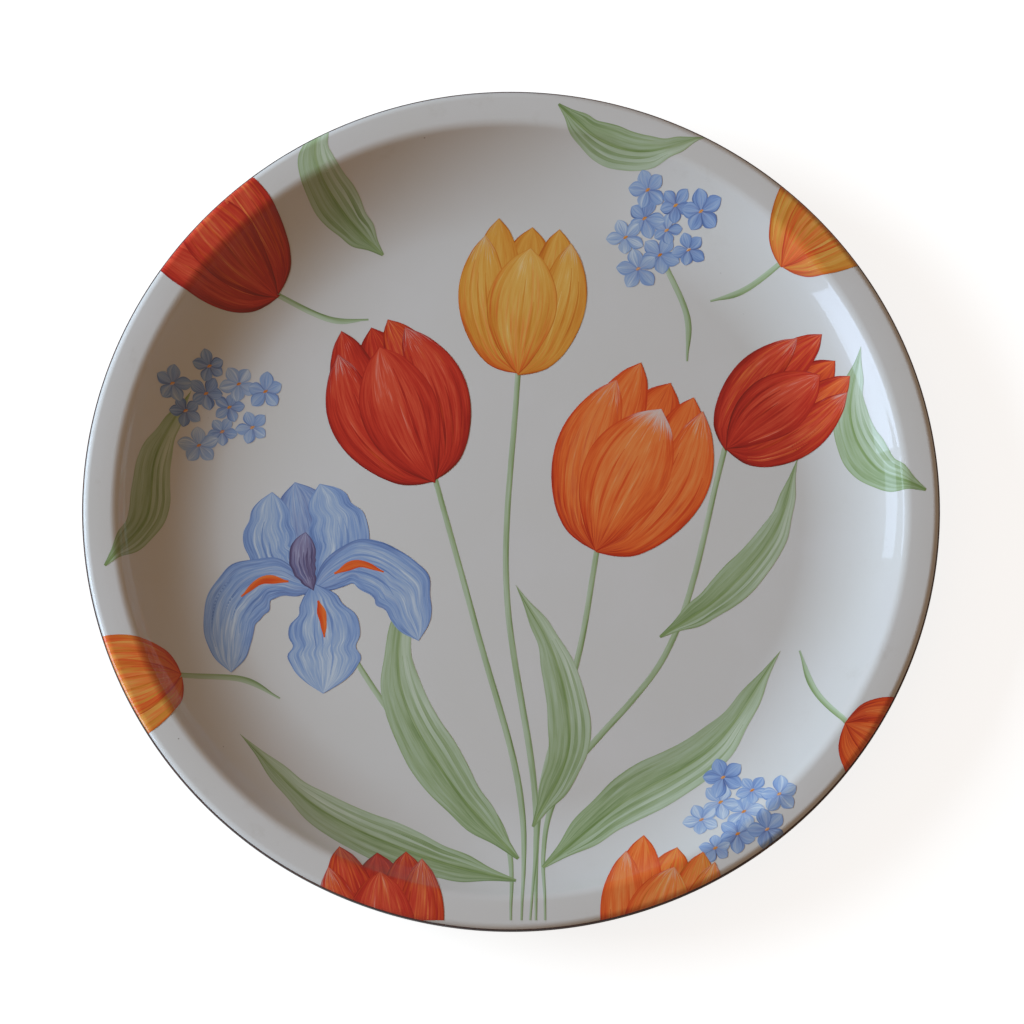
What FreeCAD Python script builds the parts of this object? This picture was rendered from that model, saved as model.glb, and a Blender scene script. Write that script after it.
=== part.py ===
import FreeCAD, Part
import math
import os

# A round lacquered serving tray, in millimetres.
# +Z is up, the origin is the centre of the foot's bearing plane, and +Y is the top of the printed picture.
# Every piece is a layer of one turned section: a moulded core, its coats, and a printed film.

# ---- driving dimensions ----------------------------------------------------------------
TRAY_DIAMETER = 356.0
WELL_RADIUS = 121.0          # flat floor, out to where the wall starts to rise
COVE_RADIUS = 54.0           # hollow curve from the floor up the wall
WALL_ANGLE = 50.0            # steepest slope of the wall, in degrees
SHOULDER_RADIUS = 6.0        # round from the wall over on to the flange
FLANGE_ANGLE = 4.0           # the flange rises a little towards the edge
ROLL_RADIUS = 3.0            # rounded outer edge
ROLL_SEAM_ANGLE = 64.0       # how far round the roll the white coat reaches
LIP_SIDE = 1.6               # upright outer side below the roll
LIP_RADIUS = 1.3             # half-round bottom of the lip
LIP_CORNER_RADIUS = 1.2      # inside corner between the lip and the flange
WALL_THICKNESS = 3.6         # moulded core with its coats

FOOT_HEIGHT = 2.0
FOOT_OUTER_RADIUS = 116.0    # outer side of the foot, where it leaves the underside
FOOT_BEARING_WIDTH = 3.4
FOOT_SIDE_ANGLE = 70.0       # slope of the foot's sides
FOOT_CORNER_RADIUS = 1.5     # inside corners, up at the underside
FOOT_EDGE_RADIUS = 1.0       # outside corners, down at the bearing face
FOOT_BARE_HEIGHT = 0.7       # the coat is rubbed off the foot this far up

CLEAR_COAT = 0.15            # clear gloss over the print
PRINT_FILM = 0.10            # printed film
WHITE_COAT = 0.25            # white lacquer under the print
COAT = CLEAR_COAT + PRINT_FILM + WHITE_COAT
EDGE_BAND = 1.2              # brown band let into the core round the outside of the rim
PRINT_CUT_Y = -173.8         # the film's straight lower edge, short of the rim

Z_UNDERSIDE = FOOT_HEIGHT
Z_WELL = FOOT_HEIGHT + WALL_THICKNESS


def sin(degrees):
    return math.sin(math.radians(degrees))


def cos(degrees):
    return math.cos(math.radians(degrees))


# ---- the section line -------------------------------------------------------------------
# A line is a start point, a heading and a list of moves. ("run", length) goes straight on;
# ("turn", angle, radius) is an arc, to the left when the angle is positive.
# The tray's solid is always on the right of the line.

def parallel_start(start, heading, depth):
    x, z = start
    return (x + depth * sin(heading), z - depth * cos(heading))


def follow(start, heading, moves, depth=0.0):
    """Edges of the line that runs at a depth inside the given one, its end point and end heading."""
    x, z = parallel_start(start, heading, depth)
    edges = []
    for move in moves:
        here = FreeCAD.Vector(x, 0, z)
        if move[0] == "run":
            x += move[1] * cos(heading)
            z += move[1] * sin(heading)
            edges.append(Part.LineSegment(here, FreeCAD.Vector(x, 0, z)).toShape())
            continue
        angle = move[1]
        side = 1.0 if angle > 0 else -1.0
        radius = move[2] + side * depth
        centre_x = x - side * radius * sin(heading)
        centre_z = z + side * radius * cos(heading)
        points = [here]
        for share in (0.5, 1.0):
            turned = heading + share * angle
            points.append(FreeCAD.Vector(centre_x + side * radius * sin(turned), 0,
                                         centre_z - side * radius * cos(turned)))
        edges.append(Part.Arc(*points).toShape())
        heading += angle
        x, z = points[2].x, points[2].z
    return edges, (x, z), heading


def turned_solid(edges):
    """A solid of revolution from the closed section that the edges make."""
    section = Part.Face(Part.Wire(Part.__sortEdges__(edges)))
    return section.revolve(FreeCAD.Vector(0, 0, 0), FreeCAD.Vector(0, 0, 1), 360)


def straight(first, second):
    return Part.LineSegment(FreeCAD.Vector(first[0], 0, first[1]),
                            FreeCAD.Vector(second[0], 0, second[1])).toShape()


def layer(start, heading, moves, outer_depth, inner_depth):
    """The ring or dish between two depths along one stretch of the section line."""
    outer, outer_end, _ = follow(start, heading, moves, outer_depth)
    inner, inner_end, _ = follow(start, heading, moves, inner_depth)
    outer_start = parallel_start(start, heading, outer_depth)
    inner_start = parallel_start(start, heading, inner_depth)
    ends = [straight(outer_start, inner_start), straight(outer_end, inner_end)]
    return turned_solid(outer + inner + ends)


# Upper side: floor, cove, shoulder, flange, and the roll as far as the seam.
shoulder_reach = SHOULDER_RADIUS * (sin(WALL_ANGLE) - sin(FLANGE_ANGLE))
roll_reach = ROLL_RADIUS * (1.0 + sin(FLANGE_ANGLE))
flange_reach = (TRAY_DIAMETER / 2 - WELL_RADIUS - COVE_RADIUS * sin(WALL_ANGLE)
                - shoulder_reach - roll_reach)
FACE_MOVES = [
    ("run", WELL_RADIUS),
    ("turn", WALL_ANGLE, COVE_RADIUS),
    ("turn", FLANGE_ANGLE - WALL_ANGLE, SHOULDER_RADIUS),
    ("run", flange_reach / cos(FLANGE_ANGLE)),
    ("turn", -ROLL_SEAM_ANGLE, ROLL_RADIUS),
]
face_start = (0.0, Z_WELL)
_, seam, seam_heading = follow(face_start, 0.0, FACE_MOVES)

# Edge: the rest of the roll and the upright outer side of the lip.
EDGE_MOVES = [
    ("turn", -90.0 - seam_heading, ROLL_RADIUS),
    ("run", LIP_SIDE),
]
_, lip_start, lip_heading = follow(seam, seam_heading, EDGE_MOVES)

# Underside: round the lip's bottom, under the flange, down the wall and in over the foot to the centre.
under_flange = parallel_start(follow(face_start, 0.0, FACE_MOVES[:3])[1], FLANGE_ANGLE, WALL_THICKNESS)
lip_inside_x = lip_start[0] - 2 * LIP_RADIUS
corner_end_x = lip_inside_x - LIP_CORNER_RADIUS * (1.0 + sin(FLANGE_ANGLE))
corner_end_z = under_flange[1] + (corner_end_x - under_flange[0]) * math.tan(math.radians(FLANGE_ANGLE))
lip_inside_top = corner_end_z - LIP_CORNER_RADIUS * cos(FLANGE_ANGLE)
foot_round_drop = (FOOT_CORNER_RADIUS + FOOT_EDGE_RADIUS) * (1.0 - cos(FOOT_SIDE_ANGLE))
foot_side = (FOOT_HEIGHT - foot_round_drop) / sin(FOOT_SIDE_ANGLE)
foot_side_reach = (FOOT_CORNER_RADIUS + FOOT_EDGE_RADIUS) * sin(FOOT_SIDE_ANGLE) + foot_side * cos(FOOT_SIDE_ANGLE)
foot_inner_radius = FOOT_OUTER_RADIUS - 2 * foot_side_reach - FOOT_BEARING_WIDTH
BASE_MOVES = [
    ("turn", -180.0, LIP_RADIUS),
    ("run", lip_inside_top - lip_start[1]),
    ("turn", 90.0 + FLANGE_ANGLE, LIP_CORNER_RADIUS),
    ("run", (corner_end_x - under_flange[0]) / cos(FLANGE_ANGLE)),
    ("turn", WALL_ANGLE - FLANGE_ANGLE, SHOULDER_RADIUS - WALL_THICKNESS),
    ("turn", -WALL_ANGLE, COVE_RADIUS + WALL_THICKNESS),
    ("run", WELL_RADIUS - FOOT_OUTER_RADIUS),
    ("turn", FOOT_SIDE_ANGLE, FOOT_CORNER_RADIUS),
    ("run", foot_side),
    ("turn", -FOOT_SIDE_ANGLE, FOOT_EDGE_RADIUS),
    ("run", FOOT_BEARING_WIDTH),
    ("turn", -FOOT_SIDE_ANGLE, FOOT_EDGE_RADIUS),
    ("run", foot_side),
    ("turn", FOOT_SIDE_ANGLE, FOOT_CORNER_RADIUS),
    ("run", foot_inner_radius),
]


# ---- the pieces --------------------------------------------------------------------------

def below(height):
    """A wide disc that holds everything under a height."""
    return Part.makeCylinder(TRAY_DIAMETER, height + 1.0, FreeCAD.Vector(0, 0, -1.0))


def print_side():
    """A block over the part of the face that the printed film covers."""
    size = 2 * TRAY_DIAMETER
    return Part.makeBox(size, size, size, FreeCAD.Vector(-size / 2, PRINT_CUT_Y, -size / 2))


def inside_foot():
    """A column that holds everything within the middle of the foot ring."""
    middle_radius = (FOOT_OUTER_RADIUS + foot_inner_radius) / 2
    return Part.makeCylinder(middle_radius, TRAY_DIAMETER, FreeCAD.Vector(0, 0, -1.0))


def base_coat_whole():
    return layer(lip_start, lip_heading, BASE_MOVES, 0.0, COAT)


def tray_core():
    """The moulded dish with its foot ring, bare on the foot's bearing face, and rebated for the edge band."""
    outline, end, _ = follow(face_start, 0.0, FACE_MOVES + EDGE_MOVES + BASE_MOVES, COAT)
    axis_line = straight(parallel_start(face_start, 0.0, COAT), end)
    dish = turned_solid(outline + [axis_line])
    bare_foot = base_coat_whole().common(below(FOOT_BARE_HEIGHT))
    return dish.cut(edge_band()).fuse(bare_foot).removeSplitter()


def face_lacquer():
    """White coat over the whole upper side, as far as the seam on the roll."""
    return layer(face_start, 0.0, FACE_MOVES, COAT - WHITE_COAT, COAT)


def floral_print():
    """Printed film on the white coat, cut straight near the bottom of the picture."""
    film = layer(face_start, 0.0, FACE_MOVES, CLEAR_COAT, CLEAR_COAT + PRINT_FILM)
    return film.common(print_side())


def clear_coat():
    """Clear gloss over the film, and down on to the white where there is no film."""
    return layer(face_start, 0.0, FACE_MOVES, 0.0, CLEAR_COAT + PRINT_FILM).cut(floral_print())


def edge_band():
    """Dark brown resin band let into the outside of the rim."""
    return layer(seam, seam_heading, EDGE_MOVES, 0.0, EDGE_BAND)


def base_lacquer():
    """Brown coat over the underside outside the foot, which is rubbed bare where it rests."""
    return base_coat_whole().cut(below(FOOT_BARE_HEIGHT)).cut(inside_foot())


def foot_well_lacquer():
    """The same brown coat on the round panel inside the foot."""
    return base_coat_whole().cut(below(FOOT_BARE_HEIGHT)).common(inside_foot())


PIECES = {
    "tray_core": tray_core,
    "face_lacquer": face_lacquer,
    "floral_print": floral_print,
    "clear_coat": clear_coat,
    "edge_band": edge_band,
    "base_lacquer": base_lacquer,
    "foot_well_lacquer": foot_well_lacquer,
}

os.makedirs("parts", exist_ok=True)
for node, make in PIECES.items():
    shape = make()
    if shape.ShapeType == "Compound" and len(shape.Solids) == 1:
        shape = shape.Solids[0]
    box = shape.optimalBoundingBox()
    print(node, shape.ShapeType, len(shape.Solids), "valid", shape.isValid(),
          "volume", round(shape.Volume), "z", round(box.ZMin, 3), round(box.ZMax, 3), "r", round(box.XMax, 3))
    shape.exportStep(os.path.join("parts", node + ".step"))
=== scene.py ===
import math
import random

import bpy
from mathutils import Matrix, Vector


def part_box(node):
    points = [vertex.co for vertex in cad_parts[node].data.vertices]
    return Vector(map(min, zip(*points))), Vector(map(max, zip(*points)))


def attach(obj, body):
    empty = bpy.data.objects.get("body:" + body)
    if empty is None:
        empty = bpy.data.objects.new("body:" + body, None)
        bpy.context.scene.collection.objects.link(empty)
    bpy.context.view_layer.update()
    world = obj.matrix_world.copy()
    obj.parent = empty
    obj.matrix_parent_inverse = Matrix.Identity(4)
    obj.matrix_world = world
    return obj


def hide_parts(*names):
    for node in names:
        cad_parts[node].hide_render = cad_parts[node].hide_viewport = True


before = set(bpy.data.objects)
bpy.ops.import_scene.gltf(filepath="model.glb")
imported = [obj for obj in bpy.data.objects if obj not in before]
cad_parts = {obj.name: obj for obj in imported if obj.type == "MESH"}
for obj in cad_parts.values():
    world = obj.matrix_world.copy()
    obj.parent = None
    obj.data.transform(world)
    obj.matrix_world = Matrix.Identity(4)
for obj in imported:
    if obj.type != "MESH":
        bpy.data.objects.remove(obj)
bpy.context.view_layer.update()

# A round lacquered serving tray with a plain flower print: white face, brown edge and underside.
# Lengths in this script are millimetres until a mesh is placed.
# The tray is turned about +Z, and +Y is the top of the printed picture.
MM = 0.001

# ---- the tray's section ------------------------------------------------------------------
edge_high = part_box("edge_band")[1]
face_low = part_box("face_lacquer")[0]
film_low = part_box("floral_print")[0]

COAT = 0.5                   # white, film and clear together
CLEAR_AND_FILM = 0.25        # the white coat's top is this far under the tray's surface
WELL_RADIUS = 121.0
COVE_RADIUS = 54.0
WALL_ANGLE = 50.0
SHOULDER_RADIUS = 6.0
FLANGE_ANGLE = 4.0
ROLL_RADIUS = 3.0
ROLL_SEAM_ANGLE = 64.0
LIP_SIDE = 1.6
LIP_RADIUS = 1.3
LIP_CORNER_RADIUS = 1.2
WALL_THICKNESS = 3.6
FOOT_HEIGHT = 2.0
FOOT_OUTER_RADIUS = 116.0
FOOT_BEARING_WIDTH = 3.4
FOOT_SIDE_ANGLE = 70.0
FOOT_CORNER_RADIUS = 1.5
FOOT_EDGE_RADIUS = 1.0
FOOT_BARE_HEIGHT = 0.7
EDGE_BAND = 1.2

RIM_RADIUS = edge_high.x / MM
WELL_HEIGHT = face_low.z / MM + COAT
PRINT_CUT = film_low.y / MM


def sin(degrees):
    return math.sin(math.radians(degrees))


def cos(degrees):
    return math.cos(math.radians(degrees))


def parallel_start(start, heading, depth):
    x, z = start
    return (x + depth * sin(heading), z - depth * cos(heading))


def follow(start, heading, moves, depth=0.0):
    """Points of the section line a depth inside the tray's surface, with the heading at its end."""
    x, z = parallel_start(start, heading, depth)
    points = [(x, z)]
    for move in moves:
        if move[0] == "run":
            x += move[1] * cos(heading)
            z += move[1] * sin(heading)
            points.append((x, z))
            continue
        angle = move[1]
        side = 1.0 if angle > 0 else -1.0
        radius = move[2] + side * depth
        centre_x = x - side * radius * sin(heading)
        centre_z = z + side * radius * cos(heading)
        steps = max(3, math.ceil(abs(angle) / (1.8 if radius > 20 else 7.0)))
        for step in range(1, steps + 1):
            turned = heading + angle * step / steps
            points.append((centre_x + side * radius * sin(turned), centre_z - side * radius * cos(turned)))
        heading += angle
        x, z = points[-1]
    return points, heading


shoulder_reach = SHOULDER_RADIUS * (sin(WALL_ANGLE) - sin(FLANGE_ANGLE))
roll_reach = ROLL_RADIUS * (1.0 + sin(FLANGE_ANGLE))
flange_reach = RIM_RADIUS - WELL_RADIUS - COVE_RADIUS * sin(WALL_ANGLE) - shoulder_reach - roll_reach
FACE_MOVES = [
    ("run", WELL_RADIUS),
    ("turn", WALL_ANGLE, COVE_RADIUS),
    ("turn", FLANGE_ANGLE - WALL_ANGLE, SHOULDER_RADIUS),
    ("run", flange_reach / cos(FLANGE_ANGLE)),
    ("turn", -ROLL_SEAM_ANGLE, ROLL_RADIUS),
]
face_start = (0.0, WELL_HEIGHT)
face_line, seam_heading = follow(face_start, 0.0, FACE_MOVES)
seam = face_line[-1]
EDGE_MOVES = [("turn", -90.0 - seam_heading, ROLL_RADIUS), ("run", LIP_SIDE)]
lip_start = follow(seam, seam_heading, EDGE_MOVES)[0][-1]
under_flange = parallel_start(follow(face_start, 0.0, FACE_MOVES[:3])[0][-1], FLANGE_ANGLE, WALL_THICKNESS)
corner_end_x = lip_start[0] - 2 * LIP_RADIUS - LIP_CORNER_RADIUS * (1.0 + sin(FLANGE_ANGLE))
corner_end_z = under_flange[1] + (corner_end_x - under_flange[0]) * math.tan(math.radians(FLANGE_ANGLE))
lip_inside_top = corner_end_z - LIP_CORNER_RADIUS * cos(FLANGE_ANGLE)
foot_rounds = FOOT_CORNER_RADIUS + FOOT_EDGE_RADIUS
foot_side = (FOOT_HEIGHT - foot_rounds * (1.0 - cos(FOOT_SIDE_ANGLE))) / sin(FOOT_SIDE_ANGLE)
foot_side_reach = foot_rounds * sin(FOOT_SIDE_ANGLE) + foot_side * cos(FOOT_SIDE_ANGLE)
foot_inner_radius = FOOT_OUTER_RADIUS - 2 * foot_side_reach - FOOT_BEARING_WIDTH
UNDER_MOVES = [
    ("turn", -180.0, LIP_RADIUS),
    ("run", lip_inside_top - lip_start[1]),
    ("turn", 90.0 + FLANGE_ANGLE, LIP_CORNER_RADIUS),
    ("run", (corner_end_x - under_flange[0]) / cos(FLANGE_ANGLE)),
    ("turn", WALL_ANGLE - FLANGE_ANGLE, SHOULDER_RADIUS - WALL_THICKNESS),
    ("turn", -WALL_ANGLE, COVE_RADIUS + WALL_THICKNESS),
    ("run", WELL_RADIUS - FOOT_OUTER_RADIUS),
    ("turn", FOOT_SIDE_ANGLE, FOOT_CORNER_RADIUS),
]
FOOT_MOVES = [
    ("run", foot_side),
    ("turn", -FOOT_SIDE_ANGLE, FOOT_EDGE_RADIUS),
    ("run", FOOT_BEARING_WIDTH),
    ("turn", -FOOT_SIDE_ANGLE, FOOT_EDGE_RADIUS),
    ("run", foot_side),
]
PANEL_MOVES = [("turn", FOOT_SIDE_ANGLE, FOOT_CORNER_RADIUS), ("run", foot_inner_radius)]


def face_at(radius):
    """Height and slope, in degrees, of the tray's upper surface at a radius."""
    x, z = face_start
    heading = 0.0
    for move in FACE_MOVES:
        if move[0] == "run":
            reach = move[1] * cos(heading)
            if radius <= x + reach:
                return z + (radius - x) * math.tan(math.radians(heading)), heading
            x += reach
            z += move[1] * sin(heading)
            continue
        side = 1.0 if move[1] > 0 else -1.0
        centre_x = x - side * move[2] * sin(heading)
        centre_z = z + side * move[2] * cos(heading)
        heading += move[1]
        x = centre_x + side * move[2] * sin(heading)
        z = centre_z - side * move[2] * cos(heading)
        if radius <= x:
            here = math.degrees(math.asin(side * (radius - centre_x) / move[2]))
            return centre_z - side * move[2] * cos(here), here
    return z, heading


# ---- working on a mesh by hand -----------------------------------------------------------

def start_piece(name):
    """Names the primitive that was just added."""
    piece = bpy.context.object
    piece.name = name
    piece.data.name = name
    return piece


def in_edit(piece, work):
    """Does one job on a piece in edit mode with everything on it selected."""
    bpy.ops.object.select_all(action="DESELECT")
    piece.select_set(True)
    bpy.context.view_layer.objects.active = piece
    bpy.ops.object.mode_set(mode="EDIT")
    bpy.ops.mesh.select_all(action="SELECT")
    work()
    bpy.ops.object.mode_set(mode="OBJECT")


def turned(name, outline, open_at_axis=False):
    """A turned shell: a wire circle is shaped to the section's outline and spun about the tray's axis."""
    bpy.ops.object.select_all(action="DESELECT")
    bpy.ops.mesh.primitive_circle_add(vertices=len(outline), radius=RIM_RADIUS * MM, fill_type="NOTHING")
    piece = start_piece(name)
    for vertex, (x, z) in zip(piece.data.vertices, outline):
        vertex.co = (x * MM, 0.0, z * MM)
    if open_at_axis:
        last = len(outline) - 1
        in_edit(piece, lambda: bpy.ops.mesh.select_all(action="DESELECT"))
        for edge in piece.data.edges:
            edge.select = set(edge.vertices) == {0, last}
        bpy.ops.object.mode_set(mode="EDIT")
        bpy.ops.mesh.delete(type="EDGE")
        bpy.ops.object.mode_set(mode="OBJECT")

    def spin():
        bpy.ops.mesh.spin(steps=SPIN_STEPS, angle=math.tau, center=(0, 0, 0), axis=(0, 0, 1))
        bpy.ops.mesh.select_all(action="SELECT")
        bpy.ops.mesh.remove_doubles(threshold=1e-6)
        bpy.ops.mesh.select_all(action="SELECT")
        bpy.ops.mesh.normals_make_consistent(inside=False)

    in_edit(piece, spin)
    bpy.ops.object.shade_smooth_by_angle(angle=math.radians(32))
    return piece


SPIN_STEPS = 360


def fitted(piece, slot, *nodes):
    """The piece rides on the tray and stands for CAD nodes; slot is not used."""
    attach(piece, "root")
    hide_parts(*nodes)


# ---- materials ---------------------------------------------------------------------------

def linear(code):
    """An sRGB hex colour as linear RGBA."""
    channels = [int(code[i:i + 2], 16) / 255 for i in (1, 3, 5)]
    return [c / 12.92 if c <= 0.04045 else ((c + 0.055) / 1.055) ** 2.4 for c in channels] + [1.0]


def new_material(name):
    material = bpy.data.materials.new(name)
    material.use_nodes = True
    material.node_tree.nodes.clear()
    return material, material.node_tree


def add(tree, kind, inputs=None, stops=None, **settings):
    """Adds a node with its settings, its ramp stops, and its inputs as values or links."""
    node = tree.nodes.new(kind)
    for key, value in settings.items():
        setattr(node, key, value)
    if stops:
        elements = node.color_ramp.elements
        while len(elements) < len(stops):
            elements.new(1.0)
        for element, (place, colour) in zip(elements, stops):
            element.position = place
            element.color = linear(colour) if isinstance(colour, str) else (colour, colour, colour, 1.0)
    for socket, value in (inputs or {}).items():
        if isinstance(value, bpy.types.NodeSocket):
            tree.links.new(value, node.inputs[socket])
        else:
            node.inputs[socket].default_value = value
    return node


def shade(tree, **inputs):
    """Ends a material in a Principled shader; the socket names have _ for a space."""
    shader = add(tree, "ShaderNodeBsdfPrincipled", {k.replace("_", " "): v for k, v in inputs.items()})
    add(tree, "ShaderNodeOutputMaterial", {"Surface": shader.outputs["BSDF"]})
    return shader

# White lacquer under a clear gloss: bright, very smooth, with a faint waviness that softens a
# reflection, hairlines and a few dark specks out towards the rim, where trays are handled.
CLEAR_IOR = 1.5
CLEAR_ROUGHNESS = 0.035


def gloss_ripple(tree, place):
    """The slight waviness of a sprayed clear coat, about 7 mm from crest to crest."""
    wave = add(tree, "ShaderNodeTexNoise", {"Vector": place, "Scale": 1000 / 7, "Detail": 1.0})
    bump = add(tree, "ShaderNodeBump", {"Height": wave.outputs["Fac"], "Strength": 0.05, "Distance": 0.00006})
    return bump.outputs["Normal"]


def white_lacquer():
    material, tree = new_material("white_stoving_lacquer_clear_coated")
    place = add(tree, "ShaderNodeTexCoord").outputs["Object"]
    flat = add(tree, "ShaderNodeVectorMath", {0: place, 1: (1, 1, 0)}, operation="MULTIPLY")
    radius = add(tree, "ShaderNodeVectorMath", {0: flat.outputs[0]}, operation="LENGTH").outputs["Value"]
    handled = add(tree, "ShaderNodeMapRange", {"Value": radius, "From Min": 0.125, "From Max": 0.176})
    cloud = add(tree, "ShaderNodeTexNoise", {"Vector": place, "Scale": 1000 / 38, "Detail": 4.0})
    tint = add(tree, "ShaderNodeValToRGB", {"Fac": cloud.outputs["Fac"]},
               [(0.3, "#d9d8d8"), (0.55, "#dad9da"), (0.75, "#dcdbdd")])
    grime = add(tree, "ShaderNodeTexNoise", {"Vector": place, "Scale": 1000 / 16, "Detail": 6.0,
                                             "Roughness": 0.7})
    grime_spots = add(tree, "ShaderNodeMapRange",
                      {"Value": grime.outputs["Fac"], "From Min": 0.60, "From Max": 0.78, "To Max": 0.35})
    grime_share = add(tree, "ShaderNodeMath", {0: grime_spots.outputs[0], 1: handled.outputs[0]},
                      operation="MULTIPLY")
    aged = add(tree, "ShaderNodeMix", {"Factor": grime_share.outputs[0], "A": tint.outputs["Color"],
                                       "B": linear("#b9b3ad")}, data_type="RGBA")
    speck_cells = add(tree, "ShaderNodeTexVoronoi", {"Vector": place, "Scale": 1000 / 9, "Randomness": 1.0})
    speck = add(tree, "ShaderNodeMapRange", {"Value": speck_cells.outputs["Distance"], "From Min": 0.028,
                                             "From Max": 0.045, "To Min": 1.0, "To Max": 0.0})
    chosen = add(tree, "ShaderNodeSeparateColor", {"Color": speck_cells.outputs["Color"]})
    rare = add(tree, "ShaderNodeMath", {0: chosen.outputs[0], 1: 0.80}, operation="GREATER_THAN")
    speck_rare = add(tree, "ShaderNodeMath", {0: speck.outputs[0], 1: rare.outputs[0]}, operation="MULTIPLY")
    speck_share = add(tree, "ShaderNodeMath", {0: speck_rare.outputs[0], 1: handled.outputs[0]},
                      operation="MULTIPLY")
    speckled = add(tree, "ShaderNodeMix", {"Factor": speck_share.outputs[0], "A": aged.outputs["Result"],
                                           "B": linear("#7d7470")}, data_type="RGBA")
    hair_place = add(tree, "ShaderNodeMapping", {"Vector": place, "Rotation": (0, 0, 0.7),
                                                 "Scale": (1, 0.03, 1)})
    hairline = add(tree, "ShaderNodeTexNoise", {"Vector": hair_place.outputs[0], "Scale": 1000 / 1.2,
                                                "Detail": 2.0})
    hair_rough = add(tree, "ShaderNodeMapRange", {"Value": hairline.outputs["Fac"], "From Min": 0.60,
                                                  "From Max": 0.72, "To Min": 0.30, "To Max": 0.42})
    shade(tree, Base_Color=speckled.outputs["Result"], Roughness=hair_rough.outputs[0], IOR=CLEAR_IOR,
          Coat_Weight=1.0, Coat_Roughness=CLEAR_ROUGHNESS, Coat_IOR=CLEAR_IOR,
          Coat_Normal=gloss_ripple(tree, place))
    return material


# Dark brown resin on the rolled edge: glossy, a little worn to grey-brown where hands and shelves rub it.
def edge_resin():
    material, tree = new_material("brown_edge_resin_polished")
    place = add(tree, "ShaderNodeTexCoord").outputs["Object"]
    wear = add(tree, "ShaderNodeTexNoise", {"Vector": place, "Scale": 1000 / 22, "Detail": 5.0,
                                            "Roughness": 0.65})
    colour = add(tree, "ShaderNodeValToRGB", {"Fac": wear.outputs["Fac"]},
                 [(0.35, "#3b1a12"), (0.55, "#4a2419"), (0.68, "#6a4a3d"), (0.8, "#8c7c74")])
    rough = add(tree, "ShaderNodeMapRange", {"Value": wear.outputs["Fac"], "From Min": 0.45, "From Max": 0.75,
                                             "To Min": 0.22, "To Max": 0.5})
    shade(tree, Base_Color=colour.outputs["Color"], Roughness=rough.outputs[0], IOR=1.5,
          Coat_Weight=0.6, Coat_Roughness=0.08)
    return material


# Brown stoving lacquer on the underside: satin, with a fine orange peel and pale rub marks.
def base_brown():
    material, tree = new_material("brown_base_lacquer_sprayed")
    place = add(tree, "ShaderNodeTexCoord").outputs["Object"]
    cloud = add(tree, "ShaderNodeTexNoise", {"Vector": place, "Scale": 1000 / 45, "Detail": 5.0,
                                             "Roughness": 0.6})
    colour = add(tree, "ShaderNodeValToRGB", {"Fac": cloud.outputs["Fac"]},
                 [(0.3, "#412619"), (0.55, "#4d2e20"), (0.8, "#5b3a2a")])
    rub_place = add(tree, "ShaderNodeMapping", {"Vector": place, "Rotation": (0, 0, 0.4),
                                                "Scale": (1, 0.06, 1)})
    rub = add(tree, "ShaderNodeTexNoise", {"Vector": rub_place.outputs[0], "Scale": 1000 / 3, "Detail": 3.0})
    rub_share = add(tree, "ShaderNodeMapRange", {"Value": rub.outputs["Fac"], "From Min": 0.62,
                                                 "From Max": 0.75, "To Max": 0.45})
    rubbed = add(tree, "ShaderNodeMix", {"Factor": rub_share.outputs[0], "A": colour.outputs["Color"],
                                         "B": linear("#7b5b4a")}, data_type="RGBA")
    rough = add(tree, "ShaderNodeMapRange", {"Value": rub_share.outputs[0], "To Min": 0.28, "To Max": 0.55})
    peel = add(tree, "ShaderNodeTexNoise", {"Vector": place, "Scale": 1000 / 1.6, "Detail": 2.0})
    bump = add(tree, "ShaderNodeBump", {"Height": peel.outputs["Fac"], "Strength": 0.35, "Distance": 0.00005})
    shade(tree, Base_Color=rubbed.outputs["Result"], Roughness=rough.outputs[0], IOR=1.5,
          Normal=bump.outputs["Normal"], Coat_Weight=0.35, Coat_Roughness=0.12)
    return material


# Moulded wood-fibre board, bare where the foot rubs: matt tan with short darker fibres.
def fibre_board():
    material, tree = new_material("moulded_wood_fibre_bare")
    place = add(tree, "ShaderNodeTexCoord").outputs["Object"]
    fibre_place = add(tree, "ShaderNodeMapping", {"Vector": place, "Scale": (1, 0.22, 1)})
    fibre = add(tree, "ShaderNodeTexNoise", {"Vector": fibre_place.outputs[0], "Scale": 1000 / 0.9,
                                             "Detail": 6.0, "Roughness": 0.75, "Distortion": 1.2})
    colour = add(tree, "ShaderNodeValToRGB", {"Fac": fibre.outputs["Fac"]},
                 [(0.3, "#5f4329"), (0.5, "#8f6d49"), (0.72, "#b5946c")])
    bump = add(tree, "ShaderNodeBump", {"Height": fibre.outputs["Fac"], "Strength": 0.5, "Distance": 0.0001})
    shade(tree, Base_Color=colour.outputs["Color"], Roughness=0.85, IOR=1.5, Normal=bump.outputs["Normal"])
    return material


# ---- the tray's shells -------------------------------------------------------------------

def stretch(start, heading, moves, depth):
    return follow(start, heading, moves, depth)[0]


def pair(start, heading, moves, outer, inner):
    """A closed outline between two depths along one stretch of the section line."""
    return stretch(start, heading, moves, outer) + stretch(start, heading, moves, inner)[::-1]


def cut_above(points, height):
    """The points of a line that comes down, ended where it reaches a height."""
    kept = []
    for before, after in zip(points, points[1:]):
        kept.append(before)
        if after[1] < height:
            share = (before[1] - height) / (before[1] - after[1])
            kept.append((before[0] + share * (after[0] - before[0]), height))
            return kept
    return kept + [points[-1]]


UNDER_HEADING = -90.0
foot_start = stretch(lip_start, UNDER_HEADING, UNDER_MOVES, 0.0)[-1]
foot_heading = follow(lip_start, UNDER_HEADING, UNDER_MOVES)[1]

face_shell = turned("white_face", pair(face_start, 0.0, FACE_MOVES, CLEAR_AND_FILM, COAT), open_at_axis=True)
edge_shell = turned("brown_edge", pair(seam, seam_heading, EDGE_MOVES, 0.0, EDGE_BAND))

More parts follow.
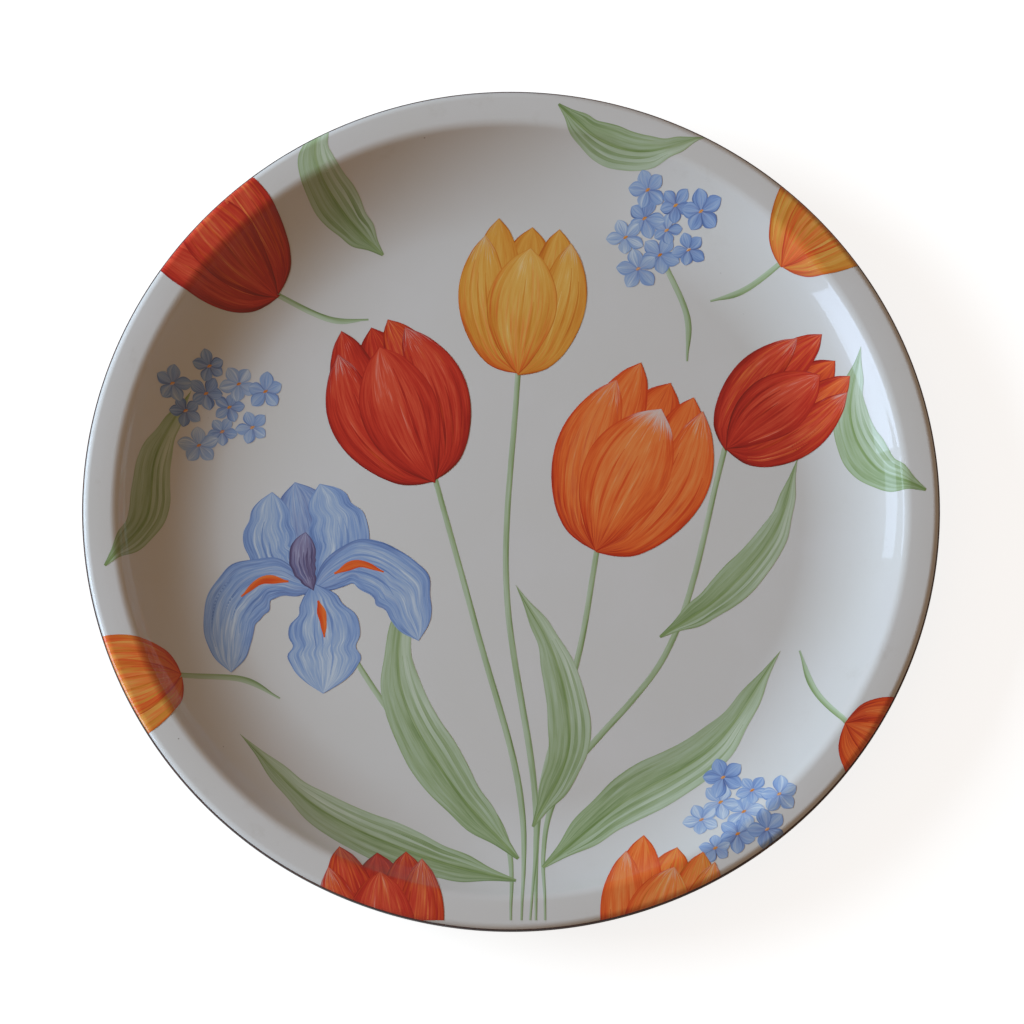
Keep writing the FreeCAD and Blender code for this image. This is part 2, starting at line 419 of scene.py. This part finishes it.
outer_side = UNDER_MOVES + FOOT_MOVES[:1]
outside = cut_above(stretch(lip_start, UNDER_HEADING, outer_side, 0.0), FOOT_BARE_HEIGHT)
inside = cut_above(stretch(lip_start, UNDER_HEADING, outer_side, COAT), FOOT_BARE_HEIGHT)
base_shell = turned("brown_underside", outside + inside[::-1])

inner_side = FOOT_MOVES[-1:] + PANEL_MOVES
inner_start = stretch(foot_start, foot_heading, FOOT_MOVES[:-1], 0.0)[-1]
panel_line = cut_above(stretch(inner_start, foot_heading - 2 * FOOT_SIDE_ANGLE, inner_side, 0.0)[::-1],
                       FOOT_BARE_HEIGHT)
panel_back = cut_above(stretch(inner_start, foot_heading - 2 * FOOT_SIDE_ANGLE, inner_side, COAT)[::-1],
                       FOOT_BARE_HEIGHT)
panel_shell = turned("brown_foot_panel", panel_line + panel_back[::-1], open_at_axis=True)

core_line = stretch(face_start, 0.0, FACE_MOVES, COAT) + stretch(seam, seam_heading, EDGE_MOVES, EDGE_BAND)
foot_line = stretch(foot_start, foot_heading, FOOT_MOVES, 0.0)
under_core = inside + [point for point in foot_line if point[1] < FOOT_BARE_HEIGHT]
core_shell = turned("moulded_core", core_line + under_core + panel_back[::-1], open_at_axis=True)

for shell, make, slot, nodes in (
    (face_shell, white_lacquer, "white_lacquer", ("face_lacquer", "clear_coat")),
    (edge_shell, edge_resin, "brown_edge", ("edge_band",)),
    (base_shell, base_brown, "brown_base", ("base_lacquer",)),
    (panel_shell, base_brown, "brown_base", ("foot_well_lacquer",)),
    (core_shell, fibre_board, "moulded_core", ("tray_core",)),
):
    shell.data.materials.append(make())
    fitted(shell, slot, *nodes)

# ---- printed film ------------------------------------------------------------------------
# The print is laid as separate thin films of ink, petal over petal, each following the face.
# A film starts as a grid whose rows are stretched from the left edge of a petal to its right edge.

INK_LIFT = 0.05              # lowest film over the white coat
INK_STEP = 0.012             # each film lies this much over the one before
PRINT_RADIUS = seam[0] - 0.05
SMALLEST_FILM = 1e-6         # square metres: a film with less than this inside the rim isn't kept


def on_face(x, y, lift):
    """A point over the white coat, in metres, and the face's normal there."""
    radius = math.hypot(x, y)
    height, slope = face_at(radius)
    depth = CLEAR_AND_FILM - lift
    outward = (x / radius, y / radius) if radius > 0 else (1.0, 0.0)
    placed = radius + depth * sin(slope)
    place = Vector((outward[0] * placed, outward[1] * placed, height - depth * cos(slope))) * MM
    return place, Vector((-outward[0] * sin(slope), -outward[1] * sin(slope), cos(slope)))


def smooth_line(flat, count):
    """Evenly spaced points on a smooth line through the points x, y, x, y, ..."""
    given = [Vector(p) for p in zip(flat[::2], flat[1::2])]
    ends = [2 * given[0] - given[1]] + given + [2 * given[-1] - given[-2]]
    dense = []
    for before, a, b, after in zip(ends, ends[1:], ends[2:], ends[3:]):
        for step in range(10):
            t = step / 10
            dense.append(0.5 * (2 * a + (b - before) * t + (2 * before - 5 * a + 4 * b - after) * t * t
                                + (3 * a - before - 3 * b + after) * t ** 3))
    dense.append(given[-1])
    run = [0.0]
    for a, b in zip(dense, dense[1:]):
        run.append(run[-1] + (b - a).length)
    line = []
    at = 0
    for step in range(count + 1):
        wanted = run[-1] * step / count
        while at < len(run) - 2 and run[at + 1] < wanted:
            at += 1
        gap = run[at + 1] - run[at]
        line.append(dense[at].lerp(dense[at + 1], (wanted - run[at]) / gap if gap else 0.0))
    return line, run[-1]


def between(values, share):
    """A value eased from one to the next along a short list."""
    if len(values) == 1:
        return values[0]
    place = min(max(share, 0.0), 1.0) * (len(values) - 1)
    first = min(int(place), len(values) - 2)
    t = place - first
    t = t * t * (3 - 2 * t)
    return values[first] * (1 - t) + values[first + 1] * t


films = 0
INKS = {}
PAINT = ("tone", "hue", "white", "edge")
FAR_FROM_EDGE = 9.0          # past where the darker line round a film has faded out
FLAT_CELL = 1.5              # a film's grid is finer where the face bends: on the wall and on the rim
WALL_CELL = 1.0
RIM_CELL = 0.6
WALL_FROM = 118.0
RIM_FROM = 160.0
WELD = 2e-6                  # metres


def film(name, ink, layer, left, right, tone=(0.5,), side=(0.0,), hue=(0.5,), white=(0.0,), line=0.15,
         cell=FLAT_CELL):
    """One film of ink. left and right run from its base to its tip, with a darker line round it
    unless line is 0. tone, hue and white are given from base to tip, and side, from left to right,
    is added to tone."""
    global films
    films += 1
    reach = max(math.hypot(x, y) for x, y in zip(left[::2] + right[::2], left[1::2] + right[1::2]))
    cell = min(cell, FLAT_CELL if reach < WALL_FROM else WALL_CELL if reach < RIM_FROM else RIM_CELL)
    rows = max(4, math.ceil(smooth_line(left, 8)[1] / cell))
    left_line, left_length = smooth_line(left, rows)
    right_line, right_length = smooth_line(right, rows)
    widest = max((a - b).length for a, b in zip(left_line, right_line))
    columns = max(4, math.ceil(widest / cell))
    length = (left_length + right_length) / 2
    bpy.ops.mesh.primitive_grid_add(x_subdivisions=columns, y_subdivisions=rows, size=1.0, calc_uvs=True)
    piece = start_piece(name)
    mesh = piece.data
    paint = {key: [] for key in PAINT}
    beyond = []
    for vertex in mesh.vertices:
        across = min(max(vertex.co.x + 0.5, 0.0), 1.0)
        along = min(max(vertex.co.y + 0.5, 0.0), 1.0)
        row = round(along * rows)
        a, b = left_line[row], right_line[row]
        x, y = a.lerp(b, across)
        edge = min(across, 1 - across) * (b - a).length
        radius = math.hypot(x, y)
        beyond.append(radius > PRINT_RADIUS or y < PRINT_CUT)
        if radius > PRINT_RADIUS:
            x, y = x * PRINT_RADIUS / radius, y * PRINT_RADIUS / radius
        y = max(y, PRINT_CUT)
        vertex.co = on_face(x, y, INK_LIFT + layer * INK_STEP)[0]
        for key, value in zip(PAINT, (between(tone, along) + between(side, across),
                                      between(hue, along), between(white, along),
                                      edge if line else FAR_FROM_EDGE)):
            paint[key].append(value)
    for key in PAINT:
        mesh.attributes.new(key, "FLOAT", "POINT").data.foreach_set("value", paint[key])
    strokes = mesh.uv_layers[0]
    strokes.name = "strokes"
    for loop in strokes.data:
        loop.uv = (loop.uv[0] * widest + 37.0 * films, loop.uv[1] * length + 11.0 * films)
    bpy.ops.object.select_all(action="DESELECT")
    piece.select_set(True)
    bpy.context.view_layer.objects.active = piece
    bpy.ops.object.mode_set(mode="EDIT")
    bpy.ops.mesh.select_all(action="DESELECT")
    bpy.ops.object.mode_set(mode="OBJECT")
    for face in mesh.polygons:
        face.select = all(beyond[i] for i in face.vertices)
    bpy.ops.object.mode_set(mode="EDIT")
    bpy.ops.mesh.delete(type="FACE")
    bpy.ops.mesh.select_all(action="SELECT")
    bpy.ops.mesh.remove_doubles(threshold=WELD)
    bpy.ops.mesh.select_all(action="SELECT")
    bpy.ops.mesh.dissolve_degenerate(threshold=1e-6)
    bpy.ops.object.mode_set(mode="OBJECT")
    if sum(face.area for face in mesh.polygons) < SMALLEST_FILM:
        bpy.data.meshes.remove(mesh)
        return
    up = sum(face.normal.z * face.area for face in mesh.polygons)
    if up < 0:
        mesh.flip_normals()
    bpy.ops.object.shade_smooth()
    normals = []
    for vertex in mesh.vertices:
        normals.append(on_face(vertex.co.x / MM, vertex.co.y / MM, 0.0)[1])
    mesh.normals_split_custom_set_from_vertices(normals)
    mesh.materials.append(INKS[ink])
    fitted(piece, "printed_film", "floral_print")


def band(middle, halves):
    """The left and right edges of a stroke or stem, from its middle line and half-widths."""
    steps = max(12, len(middle))
    line, _ = smooth_line(middle, steps)
    left, right = [], []
    for step, point in enumerate(line):
        ahead = line[min(step + 1, steps)] - line[max(step - 1, 0)]
        across = Vector((-ahead.y, ahead.x)).normalized() * max(between(halves, step / steps), 0.02)
        left += [*(point + across)]
        right += [*(point - across)]
    return left, right


def stroke(name, ink, layer, middle, halves, **paint):
    left, right = band(middle, halves)
    paint.setdefault("line", 0)
    width = 2 * max(halves)
    paint.setdefault("cell", max(0.5, width / 2))
    film(name, ink, layer, left, right, **paint)


# Screen-printed inks under the clear gloss, worked like brush painting: fine streaks about half a
# millimetre wide that run the length of a petal, broader washes of deeper colour, and bare white
# where the brush lifted off.
def printed_ink(name, ramps, streak=0.24, wash=0.24, stray=0.26, line_depth=0.16):
    material, tree = new_material(name)
    strokes = add(tree, "ShaderNodeUVMap", uv_map="strokes").outputs[0]
    value = {key: add(tree, "ShaderNodeAttribute", attribute_name=key).outputs["Fac"] for key in PAINT}
    fine_place = add(tree, "ShaderNodeMapping", {"Vector": strokes, "Scale": (1.5, 0.085, 1.0)})
    fine = add(tree, "ShaderNodeTexNoise", {"Vector": fine_place.outputs[0], "Scale": 1.0, "Detail": 2.5,
                                            "Roughness": 0.6}, noise_dimensions="2D").outputs["Fac"]
    broad_place = add(tree, "ShaderNodeMapping", {"Vector": strokes, "Scale": (0.42, 0.035, 1.0)})
    broad = add(tree, "ShaderNodeTexNoise", {"Vector": broad_place.outputs[0], "Scale": 1.0, "Detail": 1.5},
                noise_dimensions="2D").outputs["Fac"]
    hue_place = add(tree, "ShaderNodeMapping", {"Vector": strokes, "Location": (5, 3, 0),
                                                "Scale": (0.7, 0.05, 1.0)})
    stray_noise = add(tree, "ShaderNodeTexNoise", {"Vector": hue_place.outputs[0], "Scale": 1.0,
                                                   "Detail": 2.0}, noise_dimensions="2D").outputs["Fac"]

    def math_node(operation, a, b):
        return add(tree, "ShaderNodeMath", {0: a, 1: b}, operation=operation).outputs[0]

    def swing(noise, depth):
        """A noise value turned into a change either side of nothing."""
        swung = add(tree, "ShaderNodeMath", {0: noise, 1: 2 * depth, 2: -depth}, operation="MULTIPLY_ADD")
        return swung.outputs[0]

    near_edge = add(tree, "ShaderNodeMapRange", {"Value": value["edge"], "From Min": 0.0, "From Max": 0.9,
                                                 "To Min": line_depth, "To Max": 0.0},
                    interpolation_type="SMOOTHSTEP").outputs[0]
    tone = math_node("SUBTRACT", value["tone"], near_edge)
    tone = math_node("ADD", tone, swing(fine, streak))
    tone = math_node("ADD", tone, swing(broad, wash))
    hue = math_node("ADD", value["hue"], swing(stray_noise, stray))
    colours = []
    for ramp in ramps:
        stops = [(i / (len(ramp) - 1), code) for i, code in enumerate(ramp)]
        colours.append(add(tree, "ShaderNodeValToRGB", {"Fac": tone}, stops).outputs["Color"])
    colour = colours[0]
    for step, following in enumerate(colours[1:]):
        share = add(tree, "ShaderNodeMapRange", {"Value": hue, "From Min": step / (len(ramps) - 1) + 0.12,
                                                 "From Max": (step + 1) / (len(ramps) - 1) - 0.12}).outputs[0]
        colour = add(tree, "ShaderNodeMix", {"Factor": share, "A": colour, "B": following},
                     data_type="RGBA").outputs["Result"]
    lifted = math_node("ADD", value["white"], swing(fine, 0.55))
    bare = add(tree, "ShaderNodeMapRange", {"Value": lifted, "From Min": 0.42, "From Max": 0.85,
                                            "To Max": 0.92}).outputs[0]
    colour = add(tree, "ShaderNodeMix", {"Factor": bare, "A": colour, "B": linear("#dad7d8")},
                 data_type="RGBA").outputs["Result"]
    place = add(tree, "ShaderNodeTexCoord").outputs["Object"]
    shade(tree, Base_Color=colour, Roughness=0.35, IOR=CLEAR_IOR, Coat_Weight=1.0,
          Coat_Roughness=CLEAR_ROUGHNESS, Coat_IOR=CLEAR_IOR, Coat_Normal=gloss_ripple(tree, place))
    return material


RED = ("#7c0d10", "#ab1717", "#cb2f22", "#e05238", "#efa092")
ORANGE = ("#c1270c", "#de4a1a", "#ee7030", "#f2904c", "#f6c6a2")
YELLOW = ("#bb5412", "#d9862a", "#e3a243", "#eab85e", "#f4d9a2")
VIOLET = ("#4f4770", "#6d648c", "#8a87ad", "#a5a6c6", "#c4c4d6")
BLUE = ("#4f6ba3", "#6c8cc6", "#8ba8d8", "#a6bcdc", "#ccd8e8")
DEEP_GREEN = ("#4a6a38", "#738f58", "#9db28a", "#b4c6ad", "#d0dacb")
PALE_GREEN = ("#6f9148", "#97ae74", "#b3c4a0", "#cbd8c2", "#dfe8da")
INKS["tulip"] = printed_ink("tulip_print_under_gloss", (RED, ORANGE, YELLOW))
INKS["iris"] = printed_ink("iris_print_under_gloss", (VIOLET, BLUE), streak=0.42, wash=0.34, stray=0.3)
INKS["leaf"] = printed_ink("leaf_print_under_gloss", (DEEP_GREEN, PALE_GREEN), streak=0.16, wash=0.2,
                           stray=0.3)

# ---- the flowers ---------------------------------------------------------------------------
# A plain spray of garden flowers: tulips, an iris, small blue flowers, leaves and stems. Each kind
# is drawn by one function in its own frame, with its length as the unit, and the flowers differ
# by place, heading, size, colour and a little chance.

random.seed(11)
SIDES = (("left", -1), ("right", 1))
GOLDEN_ANGLE = 137.5


def placed(x, y, heading, size):
    """Gives the function that puts points, across and along a flower, on the tray."""
    def put(flat):
        line = []
        for across, along in zip(flat[::2], flat[1::2]):
            line += [x + size * (along * cos(heading) + across * sin(heading)),
                     y + size * (along * sin(heading) - across * cos(heading))]
        return line
    return put


def rounded(widest, lean=1.15, fullness=0.72):
    """Half-widths of a petal with a round tip, widest past its middle when lean is over 1."""
    return [widest * max(sin(180 * (step / 12) ** lean), 0.0) ** fullness for step in range(13)]


def beside(left, right, share, start, end):
    """A line between a petal's two edges, over part of its length."""
    flat = [a + (b - a) * share for a, b in zip(left, right)]
    points = len(flat) // 2
    first = min(round(points * start), points - 3)
    last = max(round(points * end), first + 3)
    return flat[2 * first:2 * last]


def petal(name, ink, layer, line, halves, tone, hue, white=0.0, streaks=3):
    """A petal on its middle line, deeper at its base and sides, with fine streaks of the brush."""
    left, right = band(line, halves)
    film(name, ink, layer, left, right, tone=(tone - 0.25, tone - 0.05, tone + 0.04, tone + 0.08),
         side=(-0.2, 0.1, 0.04, -0.16), hue=(hue - 0.12, hue, hue + 0.08), white=(0, 0, 0.12, 1.6 * white))
    for number in range(streaks):
        share = (number + 1) / (streaks + 1) + random.uniform(-0.05, 0.05)
        line = beside(left, right, share, 0.12, random.uniform(0.6, 0.85))
        depth = random.choice((-0.24, -0.18, 0.14))
        stroke(f"{name}_streak_{number + 1}", ink, layer + 0.25, line, (0.1, 0.55, 0.45, 0.1),
               tone=(tone + depth,), hue=(hue + 0.5 * abs(depth),))


def tulip(name, layer, x, y, heading, size, hue, opening=0.0, white=0.3):
    """A tulip from the side: petals behind, one at each side and one in front."""
    put = placed(x, y, heading, size)
    rows = [("inside", (0, 0.02, 0, 0.4, 0, 0.8), 0.26, 0.16, 0.0, 0),
            ("back", (0, 0.2, 0.01, 0.65, 0.03, 0.98), 0.18, 0.34, 0.1, 3)]
    for word, side in SIDES:
        tip = 0.14 + opening
        rows.append((f"back_{word}", (0.05 * side, 0.25, 0.17 * side, 0.6, tip * side, 1.0 - 0.03 * side),
                     0.15, 0.42, 0.2, 3))
    for word, side in SIDES:
        tip = 0.21 + 1.4 * opening
        rows.append((f"side_{word}", (0, 0, 0.16 * side, 0.15, 0.255 * side, 0.5, tip * side, 0.9),
                     0.155, 0.5, 0.3, 4))
    rows.append(("front", (0, 0, -0.02, 0.35, 0.03, 0.84), 0.215, 0.56, white, 5))
    for number, (part, middle, widest, tone, bare, streaks) in enumerate(rows):
        line = put([value + random.uniform(-0.012, 0.012) for value in middle])
        halves = rounded(size * widest * random.uniform(0.95, 1.05))
        petal(f"{name}_{part}", "tulip", layer + 0.6 * number, line, halves, tone,
              hue + random.uniform(-0.1, 0.1), bare, streaks)


def iris(name, layer, x, y, heading, size):
    """A bearded iris: three ruffled standards up, and three falls that hang."""
    put = placed(x, y, heading, size)
    falls = [(f"fall_{word}", (0, 0.02, 0.22 * side, 0.12, 0.42 * side, -0.02, 0.47 * side, -0.32),
              0.155, 0.6, 0.9) for word, side in SIDES]
    falls.append(("fall_front", (0, 0.06, 0.02, -0.16, -0.04, -0.5), 0.18, 0.68, 1.0))
    rows = [("standard_back", (0, 0, 0.02, 0.27, 0, 0.58), 0.155, 0.45, 0.7)]
    rows += [(f"standard_{word}", (0, 0, 0.17 * side, 0.24, 0.12 * side, 0.55), 0.135, 0.58, 1.0)
             for word, side in SIDES]
    rows += falls + [("style", (0, 0.02, -0.03, 0.17, 0.01, 0.32), 0.065, 0.4, 0.1)]
    for number, (part, middle, widest, tone, hue) in enumerate(rows):
        ruffled = [half * random.uniform(0.86, 1.12) for half in rounded(size * widest, 1.2, 0.62)]
        petal(f"{name}_{part}", "iris", layer + 0.6 * number, put(middle), ruffled, tone, hue, 0.12, 5)
    for part, middle, *_ in falls:
        line = smooth_line(put(middle), 6)[0][1:4]
        stroke(f"{name}_{part}_beard", "tulip", layer + 5.5, [value for point in line for value in point],
               (0.4, 1.9, 1.3, 0.3), tone=(0.4,), hue=(0.45,))


def small_flower(name, layer, x, y, size, turn, tone):
    for number in range(5):
        put = placed(x, y, turn + 72 * number + random.uniform(-9, 9), size * random.uniform(0.88, 1.08))
        halves = rounded(0.36 * size, 1.3, 0.8)
        film(f"{name}_{number + 1}", "iris", layer + 0.4 * number, *band(put((0, 0, 0, 0.5, 0, 1)), halves),
             tone=(tone - 0.12, tone + random.uniform(0, 0.14)), side=(-0.07, 0.06, 0.0), hue=(0.75, 1.0))
    stroke(f"{name}_eye", "tulip", layer + 2.5, (x - 0.9, y - 0.5, x, y + 0.1, x + 0.9, y + 0.5),
           (0.2, 0.65, 0.2), tone=(0.3,), hue=(1.2,), white=(0.42,), cell=0.6)


def spray(name, layer, x, y, count, spread):
    """Small flowers set round a point, each a golden angle on from the last."""
    for number in range(count):
        turn = GOLDEN_ANGLE * number
        away = spread * math.sqrt((number + 0.3) / count)
        small_flower(f"{name}_{number + 1:02d}", layer + 0.3 * number, x + away * cos(turn),
                     y + away * sin(turn), random.uniform(6.5, 9.0), turn, random.uniform(0.45, 0.75))


def leaf(name, layer, middle, half):
    """A long leaf: a darker and a paler half that meet on the vein, with fine lines beside it."""
    left, right = band(middle, [half * share for share in (0.06, 0.7, 1.0, 0.85, 0.45, 0.0)])
    film(f"{name}_left", "leaf", layer, left, middle, tone=(0.38, 0.52, 0.58, 0.45), side=(0.1, 0.05, -0.12),
         hue=(0.0, 0.2))
    film(f"{name}_right", "leaf", layer + 0.3, middle, right, tone=(0.5, 0.7, 0.72, 0.6),
         side=(-0.12, 0.08, 0.0), hue=(0.1, 0.4))
    stroke(f"{name}_vein", "leaf", layer + 0.7, middle, (0.5, 0.45, 0.35, 0.1), tone=(0.2, 0.3, 0.42))
    for number, share in enumerate((0.16, 0.32, 0.66, 0.82)):
        stroke(f"{name}_line_{number + 1}", "leaf", layer + 0.5, beside(left, right, share, 0.1, 0.8),
               (0.1, half * 0.1, half * 0.07, 0.1), tone=(0.42, 0.56), hue=(0.0, 0.2))


# Each stem is the points of its middle line; each leaf is the same, and then its half-width.
STEMS = (
    (10, -184, 12, -120, 28, -60, 36, -14), (4, -184, 4, -120, -14, -50, -32, 16),
    (7, -184, 10, -120, -2, -30, 3, 62), (14, -184, 18, -120, 66, -56, 90, 30),
    (0, -184, -4, -132, -44, -92, -80, -38), (74, 66, 74, 86, 64, 110),
    (-60, 84, -76, 84, -98, 94), (84, 92, 98, 96, 114, 106), (120, -58, 126, -76, 140, -94),
    (-96, -78, -112, -70, -138, -70))
LEAVES = (
    (3, -146, -26, -112, -46, -72, -44, -26, 11), (13, -150, 46, -122, 84, -98, 112, -58, 11),
    (9, -132, 24, -98, 18, -60, 2, -30, 9), (2, -156, -34, -146, -78, -126, -112, -94, 10),
    (62, -52, 88, -34, 110, -8, 120, 24, 8), (-54, 112, -70, 128, -82, 148, -78, 172, 10),
    (20, 172, 36, 158, 58, 152, 82, 158, 8), (-168, -26, -152, -4, -148, 24, -134, 52, 8),
    (172, 6, 152, 18, 142, 40, 146, 68, 9))
# name, x, y, heading, length, colour from red 0 to yellow 1, how far it opens, and how much
# bare white the tip of its front petal has
TULIPS = (
    ("orange_tulip", 36, -16, 68, 80, 0.45, 0.02, 0.5),
    ("red_tulip", -32, 14, 114, 74, 0.02, 0.0, 0.1),
    ("yellow_tulip", 3, 60, 86, 66, 0.92, 0.05, 0.2),
    ("right_tulip", 90, 28, 40, 60, 0.1, 0.04, 0.2),
    ("upper_left_tulip", -98, 94, 138, 68, 0.08, 0.08, 0.1),
    ("upper_right_tulip", 114, 104, 44, 62, 0.8, 0.06, 0.2),
    ("lower_right_tulip", 138, -92, -30, 58, 0.4, 0.04, 0.3),
    ("left_tulip", -136, -70, 196, 56, 0.7, 0.04, 0.2),
    ("cut_tulip_left", -48, -206, 98, 64, 0.05, 0.06, 0.1),
    ("cut_tulip_right", 56, -202, 80, 62, 0.55, 0.06, 0.3))
for number, middle in enumerate(STEMS):
    stroke(f"stem_{number + 1:02d}", "leaf", 0.3 + 0.05 * number, middle, (0.4, 1.3, 1.2, 1.1), tone=(0.56,),
           side=(0.16, 0.06, -0.28), hue=(0.1, 0.3))
for number, (*middle, half) in enumerate(LEAVES):
    leaf(f"leaf_{number + 1:02d}", 1.2 + 0.1 * number, middle, half)
for name, x, y, heading, size, hue, opening, white in TULIPS:
    tulip(name, 4, x, y, heading, size, hue, opening, white)
iris("iris", 4, -82, -34, 100, 84)
spray("left_blue_flower", 3, -122, 46, 10, 22)
spray("top_blue_flower", 3, 62, 122, 9, 20)
spray("lower_blue_flower", 3, 92, -128, 9, 20)

# ---- floor, light and camera -------------------------------------------------------------

ROOM_COLOUR = "#b79a7c"
ROOM_STRENGTH = 0.52
LIGHTS = [
    # name, azimuth, elevation, distance, width, height, watts, colour, lights surfaces, shows in gloss
    ("window_light", 168.0, 24.0, 2.5, 1.5, 1.0, 79.0, "#d8efff", True, False),
    ("window_pane_near", 190.5, 9.0, 2.5, 1.27, 1.1, 18.0, "#c8deff", False, True),
    ("window_pane_far", 167.0, 5.0, 2.5, 0.65, 0.8, 4.5, "#c8deff", False, True),
]


def from_side(azimuth, elevation, distance):
    """A place round the tray, azimuth from +X towards +Y."""
    return Vector((cos(azimuth) * cos(elevation), sin(azimuth) * cos(elevation), sin(elevation))) * distance


bpy.ops.object.select_all(action="DESELECT")
bpy.ops.mesh.primitive_circle_add(vertices=96, radius=9.0, fill_type="NGON")
floor = start_piece("studio_floor")
floor_material, tree = new_material("pale_studio_floor")
looked_at = add(tree, "ShaderNodeLightPath").outputs["Is Camera Ray"]
glow = add(tree, "ShaderNodeMath", {0: looked_at, 1: 0.84}, operation="MULTIPLY").outputs[0]
floor_diffuse = add(tree, "ShaderNodeBsdfDiffuse", {"Color": linear("#b4b4b4")})
floor_glow = add(tree, "ShaderNodeEmission", {"Color": linear("#ffffff"), "Strength": glow})
both = add(tree, "ShaderNodeAddShader", {0: floor_diffuse.outputs[0], 1: floor_glow.outputs[0]})
add(tree, "ShaderNodeOutputMaterial", {"Surface": both.outputs[0]})
floor.data.materials.append(floor_material)

scene = bpy.context.scene
world = bpy.data.worlds.new("studio")
world.use_nodes = True
tree = world.node_tree
tree.nodes.clear()
room = add(tree, "ShaderNodeBackground", {"Color": linear(ROOM_COLOUR), "Strength": ROOM_STRENGTH})
pale = add(tree, "ShaderNodeBackground", {"Color": linear("#fbfbfb"), "Strength": 1.0})
seen = add(tree, "ShaderNodeLightPath")
sky = add(tree, "ShaderNodeMixShader", {0: seen.outputs["Is Camera Ray"], 1: room.outputs[0],
                                        2: pale.outputs[0]})
add(tree, "ShaderNodeOutputWorld", {"Surface": sky.outputs[0]})
scene.world = world
scene.view_settings.view_transform = "Standard"


def light(name, azimuth, elevation, distance, width, height, watts, colour, diffuse, glossy):
    data = bpy.data.lights.new(name, "AREA")
    data.shape = "RECTANGLE"
    data.size = width
    data.size_y = height
    data.energy = watts
    data.color = linear(colour)[:3]
    lamp = bpy.data.objects.new(name, data)
    scene.collection.objects.link(lamp)
    lamp.location = from_side(azimuth, elevation, distance)
    lamp.rotation_euler = (-lamp.location).to_track_quat("-Z", "Y").to_euler()
    lamp.visible_diffuse = diffuse
    lamp.visible_glossy = glossy
    lamp.visible_camera = False


for setup in LIGHTS:
    light(*setup)

CAMERA_DISTANCE = 2.4
CAMERA_TILT = 12.0
camera_data = bpy.data.cameras.new("camera")
camera_data.sensor_width = 36.0
camera_data.lens = 203.29
camera_data.shift_x = 0.001
camera_data.shift_y = -0.0063
camera = bpy.data.objects.new("camera", camera_data)
scene.collection.objects.link(camera)
aim = Vector((0.0, 0.0, 0.024))
camera.location = aim + Vector((0.0, -sin(CAMERA_TILT), cos(CAMERA_TILT))) * CAMERA_DISTANCE
camera.rotation_euler = (math.radians(CAMERA_TILT), 0.0, 0.0)
scene.camera = camera
